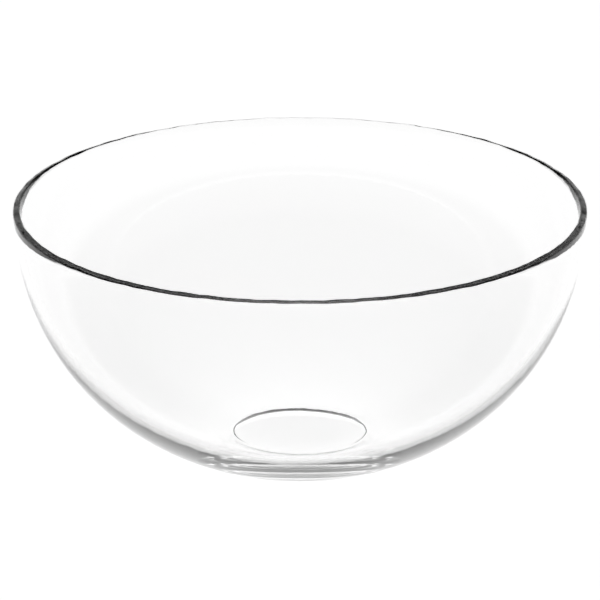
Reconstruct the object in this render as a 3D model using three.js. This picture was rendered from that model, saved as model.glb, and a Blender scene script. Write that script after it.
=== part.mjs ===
// A round-bottomed clear glass bowl, pressed in one piece: a wall of nearly even thickness that
// grows towards the base, a rim whose top slopes down towards the outside, and a shallow round
// recess underneath that leaves a narrow foot ring to stand on.
// Millimetres, +Z up, with the bowl's axis on x = y = 0 and the foot ring on z = 0.
import * as THREE from "three";

// Overall size.
const RIM_RADIUS = 100; // the widest point, at the rim
const HEIGHT = 92.4; // foot ring to the top of the rim

// Both faces of the wall are superellipses, measured down from the top of the rim:
// (radius / full radius) ^ power + (depth / full depth) ^ power = 1. A power of 2 is an ellipse.
const OUTER_CURVE = { radius: 99.7, depth: 95.3, power: 2.07 };
const INNER_CURVE = { radius: 96.7, depth: 90, power: 2.11 };

// Near the rim each face leaves its superellipse outwards, along a parabola.
const OUTER_FLARE = { width: 0.3, height: 12 };
const INNER_FLARE = { width: 0.9, height: 6 };

// Near the axis the inner face flattens to the floor.
const FLOOR_HEIGHT = 5; // the inner floor on the axis, above the foot ring
const FLOOR_BLEND_RADIUS = 35; // the wall's superellipse stops here

// The rim: its top slopes down towards the outside, between two small rounded edges.
const RIM_EDGE_RADIUS = 0.8;
const RIM_SLOPE = (18 * Math.PI) / 180; // angle below level

// The underside.
const RECESS_RADIUS = 24.6; // the foot ring runs from here to where the outer face starts
const RECESS_DEPTH = 0.5;
const RECESS_EDGE_WIDTH = 0.6; // the recess's sloping edge, measured along the radius

// Facets.
const SEGMENTS = 72; // round the axis
const OUTER_STEPS = 24;
const INNER_STEPS = 22;
const FLOOR_STEPS = 5;
const EDGE_STEPS = 3;

// Radius of a superellipse at a depth below the top of the rim.
function curveRadius(curve, depth) {
  return curve.radius * (1 - (depth / curve.depth) ** curve.power) ** (1 / curve.power);
}

// How far outwards a face has left its superellipse at a depth below the top of the rim.
function flareOffset(flare, depth) {
  return flare.width * Math.max(1 - depth / flare.height, 0) ** 2;
}

// How far a face leans from the vertical at the top of the rim.
function flareAngle(flare) {
  return Math.atan((2 * flare.width) / flare.height);
}

const FOOT_RADIUS = curveRadius(OUTER_CURVE, HEIGHT);

// Points up one face of the wall, evenly spread by angle along its superellipse.
function wallPoints(curve, flare, fromRadius, toDepth, steps) {
  const angleAt = (r) => Math.asin((r / curve.radius) ** (curve.power / 2));
  const first = angleAt(fromRadius);
  const last = angleAt(curveRadius(curve, toDepth));
  const points = [];
  for (let i = 0; i <= steps; i++) {
    const angle = first + ((last - first) * i) / steps;
    const r = curve.radius * Math.sin(angle) ** (2 / curve.power);
    const depth = curve.depth * Math.cos(angle) ** (2 / curve.power);
    points.push(new THREE.Vector2(r + flareOffset(flare, depth), HEIGHT - depth));
  }
  return points;
}

// Points round one of the rim's rounded edges, from one angle to another.
function edgePoints(centre, fromAngle, toAngle) {
  const points = [];
  for (let i = 0; i <= EDGE_STEPS; i++) {
    const angle = fromAngle + ((toAngle - fromAngle) * i) / EDGE_STEPS;
    const r = centre.x + RIM_EDGE_RADIUS * Math.cos(angle);
    const z = centre.y + RIM_EDGE_RADIUS * Math.sin(angle);
    points.push(new THREE.Vector2(r, z));
  }
  return points;
}

// The rim's inner edge reaches the full height and meets the inner face without a corner.
const INNER_LEAN = flareAngle(INNER_FLARE);
const INNER_EDGE_DEPTH = RIM_EDGE_RADIUS * (1 - Math.sin(INNER_LEAN));
const INNER_EDGE_RADIUS =
  curveRadius(INNER_CURVE, INNER_EDGE_DEPTH) + flareOffset(INNER_FLARE, INNER_EDGE_DEPTH);
const INNER_EDGE_CENTRE = new THREE.Vector2(
  INNER_EDGE_RADIUS + RIM_EDGE_RADIUS * Math.cos(INNER_LEAN),
  HEIGHT - RIM_EDGE_RADIUS,
);

// The rim's outer edge is the bowl's widest point and lies lower by the slope.
const OUTER_LEAN = flareAngle(OUTER_FLARE);
const OUTER_EDGE_X = RIM_RADIUS - RIM_EDGE_RADIUS;
const OUTER_EDGE_CENTRE = new THREE.Vector2(
  OUTER_EDGE_X,
  INNER_EDGE_CENTRE.y - (OUTER_EDGE_X - INNER_EDGE_CENTRE.x) * Math.tan(RIM_SLOPE),
);
const OUTER_EDGE_DEPTH =
  HEIGHT - OUTER_EDGE_CENTRE.y + RIM_EDGE_RADIUS * Math.sin(OUTER_LEAN);

// The underside: the recess, its sloping edge and the inner side of the foot ring.
function undersidePoints() {
  return [
    new THREE.Vector2(0, RECESS_DEPTH),
    new THREE.Vector2(RECESS_RADIUS - RECESS_EDGE_WIDTH, RECESS_DEPTH),
    new THREE.Vector2(RECESS_RADIUS, 0),
  ];
}

// The outer face from the foot ring up to just below the rim's rounded edge.
function outerPoints() {
  const wall = wallPoints(OUTER_CURVE, OUTER_FLARE, FOOT_RADIUS, OUTER_EDGE_DEPTH, OUTER_STEPS);
  return wall.slice(0, -1);
}

// The top of the rim, outer edge to inner edge.
function rimPoints() {
  const slopeNormal = Math.PI / 2 - RIM_SLOPE;
  return [
    ...edgePoints(OUTER_EDGE_CENTRE, -OUTER_LEAN, slopeNormal),
    ...edgePoints(INNER_EDGE_CENTRE, slopeNormal, Math.PI - INNER_LEAN),
  ];
}

// The inner face from the axis out to the end of the wall's superellipse: a power curve that meets
// it with the same height and slope.
function floorPoints() {
  const { radius, depth, power } = INNER_CURVE;
  const share = (FLOOR_BLEND_RADIUS / radius) ** power;
  const wallDepth = depth * (1 - share) ** (1 / power);
  const slope = (wallDepth * share) / (1 - share) / FLOOR_BLEND_RADIUS;
  const rise = HEIGHT - wallDepth - FLOOR_HEIGHT;
  const floorPower = (slope * FLOOR_BLEND_RADIUS) / rise;
  const points = [];
  for (let i = 0; i < FLOOR_STEPS; i++) {
    const across = i / FLOOR_STEPS;
    points.push(
      new THREE.Vector2(FLOOR_BLEND_RADIUS * across, FLOOR_HEIGHT + rise * across ** floorPower),
    );
  }
  return points;
}

// The inner face from just below the rim's inner edge down to the floor on the axis.
function innerPoints() {
  const wall = wallPoints(
    INNER_CURVE,
    INNER_FLARE,
    FLOOR_BLEND_RADIUS,
    INNER_EDGE_DEPTH,
    INNER_STEPS,
  );
  return [...floorPoints(), ...wall.slice(0, -1)].reverse();
}

function makeBowl() {
  const profile = [
    ...undersidePoints(),
    ...outerPoints(),
    ...rimPoints(),
    ...innerPoints(),
  ];
  const geometry = new THREE.LatheGeometry(profile, SEGMENTS);
  geometry.rotateX(Math.PI / 2); // the lathe turns about y: stand its axis up along z
  const glass = new THREE.MeshStandardMaterial({
    color: 0xf4f7f6,
    roughness: 0.03,
    metalness: 0,
    transparent: true,
    opacity: 0.25,
  });
  const bowl = new THREE.Mesh(geometry, glass);
  bowl.name = "glass_bowl";
  return bowl;
}

const group = new THREE.Group();
group.add(makeBowl());

export default group;
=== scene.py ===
"""A clear pressed-glass bowl on a white light table, in a plain white studio.

The bowl is one piece of glass, a body of revolution with the faint unevenness of pressed glass.
Metres, +Z up, the bowl's axis on x = y = 0 and its foot ring on z = 0.
"""
import math

import bpy
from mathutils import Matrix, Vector


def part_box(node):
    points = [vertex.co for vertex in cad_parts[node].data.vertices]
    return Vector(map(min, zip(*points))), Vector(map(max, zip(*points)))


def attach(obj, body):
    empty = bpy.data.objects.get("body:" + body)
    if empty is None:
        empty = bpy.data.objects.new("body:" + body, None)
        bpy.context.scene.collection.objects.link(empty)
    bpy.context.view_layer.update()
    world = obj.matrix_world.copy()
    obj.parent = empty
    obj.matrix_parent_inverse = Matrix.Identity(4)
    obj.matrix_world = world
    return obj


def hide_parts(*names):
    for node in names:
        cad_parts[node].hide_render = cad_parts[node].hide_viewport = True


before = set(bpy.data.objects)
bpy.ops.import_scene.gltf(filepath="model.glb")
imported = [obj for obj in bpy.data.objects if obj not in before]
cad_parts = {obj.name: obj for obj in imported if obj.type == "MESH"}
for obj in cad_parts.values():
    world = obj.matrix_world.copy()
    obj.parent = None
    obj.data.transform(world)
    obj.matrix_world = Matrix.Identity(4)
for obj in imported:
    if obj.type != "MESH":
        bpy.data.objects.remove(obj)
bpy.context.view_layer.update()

MM = 0.001

# ---------------------------------------------------------------- the bowl's shape
# Both faces of the wall are superellipses below the top of the rim, as in the CAD part:
# (full radius, full depth, power).
OUTER_CURVE = (99.7 * MM, 95.3 * MM, 2.07)
INNER_CURVE = (96.7 * MM, 90.0 * MM, 2.11)
# Near the rim each face leaves its superellipse outwards, along a parabola: (width, height).
OUTER_FLARE = (0.3 * MM, 12 * MM)
INNER_FLARE = (0.9 * MM, 6 * MM)

FLOOR_HEIGHT = 5 * MM  # the inner floor on the axis
FLOOR_BLEND_RADIUS = 35 * MM  # inside this the inner face flattens towards the axis

RIM_EDGE_RADIUS = 0.8 * MM
RIM_SLOPE = math.radians(18)

RECESS_RADIUS = 24.6 * MM
RECESS_DEPTH = 0.5 * MM
RECESS_EDGE_WIDTH = 0.6 * MM
FOOT_EDGE_RADIUS = 0.3 * MM

# Mesh density: light is bent by the surface several times over, so it is fine.
SEGMENTS = 360
WALL_STEPS = 98
FLOOR_STEPS = 24
EDGE_STEPS = 8
RECESS_STEPS = 12
ON_AXIS = 1e-9  # a profile point nearer the axis than this becomes a single vertex

# ---------------------------------------------------------------- pressed-glass unevenness
# Each ripple is (waves round the bowl, phase in radians, share of the amplitude).
RIM_RIPPLES = ((23, 0.4, 0.30), (37, 2.1, 0.26), (58, 4.0, 0.20), (83, 1.2, 0.14), (131, 5.3, 0.10))
RIM_RIPPLE_HEIGHT = 0.22 * MM
RIM_RIPPLE_FADE = (3 * MM, 0.5 * MM)  # below the top: none at the first, full at the second
INNER_RIPPLE_SHIFT = 0.09  # radians, by which the inner edge's ripple is out of step
RECESS_RIPPLES = ((9, 1.0, 0.4), (17, 3.3, 0.3), (31, 0.2, 0.2), (47, 4.4, 0.1))
RECESS_RIPPLE_WIDTH = 0.05 * MM
RECESS_RIPPLE_FADE = (0.3 * MM, 1.2 * MM)  # from the recess's edge: full at the first, then none
RECESS_RIPPLE_TOP = RECESS_DEPTH + 0.1 * MM  # only the underside lies lower
# Slow swells of the inner face: (waves round, waves up the wall, phase, share of the amplitude).
WALL_SWELLS = ((3, 1.5, 0.7, 0.35), (5, 2.5, 2.9, 0.3), (8, 3.5, 4.6, 0.2), (11, 5.0, 1.8, 0.15))
WALL_SWELL_DEPTH = 0.03 * MM
WALL_SWELL_START = (FLOOR_HEIGHT + 8 * MM, FLOOR_HEIGHT + 25 * MM)  # heights: none, full
WALL_SWELL_END = (12 * MM, 6 * MM)  # below the top: full, none

# ---------------------------------------------------------------- the glass
GLASS_IOR = 1.52
GLASS_ABSORPTION = 1.3  # per metre, neutral
MARK_SCALE = 160  # the mould's marks lie about 6 mm apart
MARK_DETAIL = 2
BUMP_STRENGTH = 0.4
BUMP_DISTANCE = 0.015 * MM
HAZE_RANGE = (0.5, 0.8)  # of the marks' noise: the haze starts, and is full
HAZE_ROUGHNESS = 0.03

# ---------------------------------------------------------------- the studio
FLOOR_SIZE = 80.0
FLOOR_GAP = 0.1 * MM  # the floor lies just under the foot ring, so the two never share a plane
FLOOR_WHITE = 0.8
FLOOR_GLOW = 0.965
# The room's light: (sine of the direction's height above level, brightness).
ROOM_LIGHT = ((0.0, 1.0), (0.12, 0.45), (0.3, 0.25), (0.45, 0.02))
CAMERA_DISTANCE = 1.8  # from the middle of the rim
CAMERA_ELEVATION = math.radians(18.9)
CAMERA_PITCH = math.radians(19.96)
CAMERA_LENS_MM = 309.9
CAMERA_CLIP_START = 0.05
GLASS_BOUNCES = 48  # light turns back and forth inside the wall many times


def curve_radius(curve, depth):
    """Radius of a superellipse (radius, full depth, power) at a depth below the top of the rim."""
    radius, full_depth, power = curve
    return radius * (1 - (depth / full_depth) ** power) ** (1 / power)


def flare_offset(flare, depth):
    """How far outwards a face has left its superellipse at a depth below the top of the rim."""
    width, flare_height = flare
    return width * max(1 - depth / flare_height, 0) ** 2


def flare_angle(flare):
    """How far a face leans from the vertical at the top of the rim."""
    width, flare_height = flare
    return math.atan(2 * width / flare_height)


def wall_points(curve, flare, height, from_radius, to_depth):
    """Points up one face of the wall, evenly spread by angle along its superellipse."""
    radius, full_depth, power = curve
    first = math.asin((from_radius / radius) ** (power / 2))
    last = math.asin((curve_radius(curve, to_depth) / radius) ** (power / 2))
    points = []
    for i in range(WALL_STEPS + 1):
        angle = first + (last - first) * i / WALL_STEPS
        depth = full_depth * math.cos(angle) ** (2 / power)
        r = radius * math.sin(angle) ** (2 / power)
        points.append((r + flare_offset(flare, depth), height - depth))
    return points


def arc_points(centre, radius, from_angle, to_angle):
    """Points round an arc in the profile's plane."""
    points = []
    for i in range(EDGE_STEPS + 1):
        angle = from_angle + (to_angle - from_angle) * i / EDGE_STEPS
        points.append((centre[0] + radius * math.cos(angle), centre[1] + radius * math.sin(angle)))
    return points


def underside_points():
    """The recess, its smooth sloping edge and the inner side of the foot ring."""
    flat_radius = RECESS_RADIUS - RECESS_EDGE_WIDTH
    points = [(flat_radius * i / RECESS_STEPS, RECESS_DEPTH) for i in range(RECESS_STEPS + 1)]
    for i in range(1, RECESS_STEPS + 1):
        share = i / RECESS_STEPS
        fall = smooth_step(share, 0, 1)
        points.append((flat_radius + RECESS_EDGE_WIDTH * share, RECESS_DEPTH * (1 - fall)))
    return points


def outer_points(height, edge_depth):
    """The outer face, from the small round at the foot ring up to the rim's outer edge."""
    foot_radius = curve_radius(OUTER_CURVE, height)
    wall = wall_points(OUTER_CURVE, OUTER_FLARE, height, foot_radius, edge_depth)
    rise = math.atan2(wall[1][1] - wall[0][1], wall[1][0] - wall[0][0])
    centre = (foot_radius - FOOT_EDGE_RADIUS * math.tan(rise / 2), FOOT_EDGE_RADIUS)
    foot_edge = arc_points(centre, FOOT_EDGE_RADIUS, -math.pi / 2, rise - math.pi / 2)
    clear_of_edge = foot_edge[-1][0] + FOOT_EDGE_RADIUS / 3
    return foot_edge + [point for point in wall if point[0] > clear_of_edge]


def floor_points(wall_foot):
    """The inner face from the axis out to the foot of the wall: a power curve that meets the
    wall's superellipse with the same height and slope."""
    radius, full_depth, curve_power = INNER_CURVE
    share = (FLOOR_BLEND_RADIUS / radius) ** curve_power
    slope = full_depth / FLOOR_BLEND_RADIUS * share * (1 - share) ** (1 / curve_power - 1)
    rise = wall_foot - FLOOR_HEIGHT
    power = slope * FLOOR_BLEND_RADIUS / rise
    points = []
    for i in range(FLOOR_STEPS):
        across = i / FLOOR_STEPS
        points.append((FLOOR_BLEND_RADIUS * across, FLOOR_HEIGHT + rise * across**power))
    return points


def inner_points(height, edge_depth):
    """The inner face, from the axis up to the rim's inner edge."""
    wall = wall_points(INNER_CURVE, INNER_FLARE, height, FLOOR_BLEND_RADIUS, edge_depth)
    return floor_points(wall[0][1]) + wall


def bowl_profile(rim_radius, height):
    """The closed outline of the wall as (radius, height) points, from the underside's middle
    out and up, over the rim and down to the middle of the floor."""
    outer_lean = flare_angle(OUTER_FLARE)
    inner_lean = flare_angle(INNER_FLARE)
    slope_normal = math.pi / 2 - RIM_SLOPE
    # Where each face meets the round of its edge, below the top of the rim.
    inner_depth = RIM_EDGE_RADIUS * (1 - math.sin(inner_lean))
    inner_radius = curve_radius(INNER_CURVE, inner_depth) + flare_offset(INNER_FLARE, inner_depth)
    inner_centre = (inner_radius + RIM_EDGE_RADIUS * math.cos(inner_lean), height - RIM_EDGE_RADIUS)
    outer_x = rim_radius - RIM_EDGE_RADIUS
    outer_centre = (outer_x, inner_centre[1] - (outer_x - inner_centre[0]) * math.tan(RIM_SLOPE))
    outer_depth = height - outer_centre[1] + RIM_EDGE_RADIUS * math.sin(outer_lean)
    return (
        underside_points()
        + outer_points(height, outer_depth)[:-1]
        + arc_points(outer_centre, RIM_EDGE_RADIUS, -outer_lean, slope_normal)
        + arc_points(inner_centre, RIM_EDGE_RADIUS, slope_normal, math.pi - inner_lean)
        + inner_points(height, inner_depth)[-2::-1]
    )


def smooth_step(value, low, high):
    """Eases from 0 at the low value to 1 at the high one."""
    share = min(max((value - low) / (high - low), 0.0), 1.0)
    return share * share * (3 - 2 * share)


def ripple(angle, ripples):
    """A fixed, uneven wave round the bowl, from about -1 to 1."""
    return sum(share * math.sin(waves * angle + phase) for waves, phase, share in ripples)


def wall_swell(angle, rise):
    """A fixed, slow wave over the wall, from about -1 to 1. The rise runs from 0 at the foot to a
    full turn at the top."""
    total = 0
    for round_waves, up_waves, phase, share in WALL_SWELLS:
        round_wave = math.sin(round_waves * angle + phase)
        up_wave = math.sin(up_waves * rise + phase)
        total += share * round_wave * up_wave
    return total


def uneven(r, z, angle, height, inner):
    """Moves a point of the profile, on the inner or the outer face, by the unevenness at this
    angle round the bowl."""
    if inner:
        fade = smooth_step(z, *WALL_SWELL_START)
        fade *= 1 - smooth_step(z, height - WALL_SWELL_END[0], height - WALL_SWELL_END[1])
        r += fade * WALL_SWELL_DEPTH * wall_swell(angle, 2 * math.pi * z / height)
    near_rim = smooth_step(z, height - RIM_RIPPLE_FADE[0], height - RIM_RIPPLE_FADE[1])
    # The inner and outer edges of the rim rise and fall out of step, so its top face twists.
    shift = INNER_RIPPLE_SHIFT if inner else 0
    z += near_rim * RIM_RIPPLE_HEIGHT * ripple(angle + shift, RIM_RIPPLES)
    if z < RECESS_RIPPLE_TOP:
        near_edge = 1 - smooth_step(abs(r - RECESS_RADIUS), *RECESS_RIPPLE_FADE)
        r += near_edge * RECESS_RIPPLE_WIDTH * ripple(angle, RECESS_RIPPLES)
    return r, z


def lathe(name, profile, height):
    """A mesh of the profile turned round the z axis, closed at both ends on the axis."""
    points = []
    rings = []
    # The profile climbs the outer face to its top point; what follows is the inner face.
    top = max(range(len(profile)), key=lambda i: profile[i][1])
    for i, (r, z) in enumerate(profile):
        if r < ON_AXIS:
            rings.append([len(points)])
            points.append((0.0, 0.0, z))
            continue
        rings.append(range(len(points), len(points) + SEGMENTS))
        for k in range(SEGMENTS):
            angle = 2 * math.pi * k / SEGMENTS
            ur, uz = uneven(r, z, angle, height, inner=i > top)
            points.append((ur * math.cos(angle), ur * math.sin(angle), uz))
    faces = []
    for lower, upper in zip(rings, rings[1:]):
        for k in range(SEGMENTS):
            after = (k + 1) % SEGMENTS
            if len(lower) == 1:
                faces.append((lower[0], upper[after], upper[k]))
            elif len(upper) == 1:
                faces.append((lower[k], lower[after], upper[0]))
            else:
                faces.append((lower[k], lower[after], upper[after], upper[k]))
    mesh = bpy.data.meshes.new(name)
    mesh.from_pydata(points, [], faces)
    mesh.polygons.foreach_set("use_smooth", [True] * len(mesh.polygons))
    mesh.update()
    obj = bpy.data.objects.new(name, mesh)
    bpy.context.scene.collection.objects.link(obj)
    return obj


def glass_material():
    """Clear glass, faintly marked by its mould, with a little neutral absorption inside."""
    material = bpy.data.materials.new("clear_glass")
    material.use_nodes = True
    nodes = material.node_tree.nodes
    links = material.node_tree.links
    glass = nodes["Principled BSDF"]
    glass.inputs["Base Color"].default_value = (1, 1, 1, 1)
    glass.inputs["IOR"].default_value = GLASS_IOR
    glass.inputs["Transmission Weight"].default_value = 1

    # Fine marks left by the mould: a faint bump, and a little roughness in the same patches.
    place = nodes.new("ShaderNodeTexCoord")
    marks = nodes.new("ShaderNodeTexNoise")
    marks.inputs["Scale"].default_value = MARK_SCALE
    marks.inputs["Detail"].default_value = MARK_DETAIL
    bump = nodes.new("ShaderNodeBump")
    bump.inputs["Strength"].default_value = BUMP_STRENGTH
    bump.inputs["Distance"].default_value = BUMP_DISTANCE
    haze = nodes.new("ShaderNodeMapRange")
    haze.inputs["To Max"].default_value = HAZE_ROUGHNESS
    haze.inputs["From Min"].default_value = HAZE_RANGE[0]
    haze.inputs["From Max"].default_value = HAZE_RANGE[1]
    links.new(place.outputs["Object"], marks.inputs["Vector"])
    links.new(marks.outputs["Fac"], bump.inputs["Height"])
    links.new(marks.outputs["Fac"], haze.inputs["Value"])
    links.new(bump.outputs["Normal"], glass.inputs["Normal"])
    links.new(haze.outputs["Result"], glass.inputs["Roughness"])

    absorption = nodes.new("ShaderNodeVolumeAbsorption")
    absorption.inputs["Color"].default_value = (0, 0, 0, 1)
    absorption.inputs["Density"].default_value = GLASS_ABSORPTION
    links.new(absorption.outputs["Volume"], nodes["Material Output"].inputs["Volume"])
    return material


def make_bowl():
    low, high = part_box("glass_bowl")
    profile = bowl_profile(high.x, high.z)
    bowl = lathe("clear_glass_bowl", profile, high.z)
    bowl.data.materials.append(glass_material())
    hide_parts("glass_bowl")
    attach(bowl, "root")


def make_floor():
    """A plain white light table."""
    bpy.ops.mesh.primitive_plane_add(size=FLOOR_SIZE, location=(0, 0, -FLOOR_GAP))
    floor = bpy.context.object
    floor.name = "studio_floor"
    material = bpy.data.materials.new("studio_white")
    material.use_nodes = True
    white = material.node_tree.nodes["Principled BSDF"]
    white.inputs["Base Color"].default_value = (FLOOR_WHITE, FLOOR_WHITE, FLOOR_WHITE, 1)
    white.inputs["Roughness"].default_value = 1
    white.inputs["Specular IOR Level"].default_value = 0
    white.inputs["Emission Color"].default_value = (1, 1, 1, 1)
    white.inputs["Emission Strength"].default_value = FLOOR_GLOW
    floor.data.materials.append(material)


def make_world():
    """A soft plain room: white at the horizon, dimmer above and darkest overhead."""
    world = bpy.data.worlds.new("studio")
    bpy.context.scene.world = world
    world.use_nodes = True
    nodes = world.node_tree.nodes
    links = world.node_tree.links
    direction = nodes.new("ShaderNodeTexCoord")
    parts = nodes.new("ShaderNodeSeparateXYZ")
    ramp = nodes.new("ShaderNodeValToRGB")
    ramp.color_ramp.interpolation = "EASE"
    stops = ramp.color_ramp.elements
    while len(stops) < len(ROOM_LIGHT):
        stops.new(0.5)
    for stop, (place, light) in zip(stops, ROOM_LIGHT):
        stop.position = place
        stop.color = (light, light, light, 1)
    links.new(direction.outputs["Generated"], parts.inputs["Vector"])
    links.new(parts.outputs["Z"], ramp.inputs["Fac"])
    links.new(ramp.outputs["Color"], nodes["Background"].inputs["Color"])


def make_camera(height):
    """A long lens, looking down at the bowl."""
    camera = bpy.data.cameras.new("camera")
    camera.lens = CAMERA_LENS_MM
    camera.clip_start = CAMERA_CLIP_START
    camera.clip_end = 2 * FLOOR_SIZE
    obj = bpy.data.objects.new("camera", camera)
    bpy.context.scene.collection.objects.link(obj)
    rim_middle = Vector((0, 0, height))
    away = Vector((0, -math.cos(CAMERA_ELEVATION), math.sin(CAMERA_ELEVATION)))
    obj.location = rim_middle + away * CAMERA_DISTANCE
    look = Vector((0, math.cos(CAMERA_PITCH), -math.sin(CAMERA_PITCH)))
    obj.rotation_euler = look.to_track_quat("-Z", "Y").to_euler()
    bpy.context.scene.camera = obj


def set_light_paths():
    """Lets light through the wall's many refractions, and keeps the tones unchanged."""
    scene = bpy.context.scene
    scene.view_settings.view_transform = "Standard"
    scene.cycles.max_bounces = GLASS_BOUNCES
    scene.cycles.transmission_bounces = GLASS_BOUNCES
    scene.cycles.glossy_bounces = GLASS_BOUNCES
    scene.cycles.blur_glossy = 0


make_bowl()
make_floor()
make_world()
make_camera(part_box("glass_bowl")[1].z)
set_light_paths()
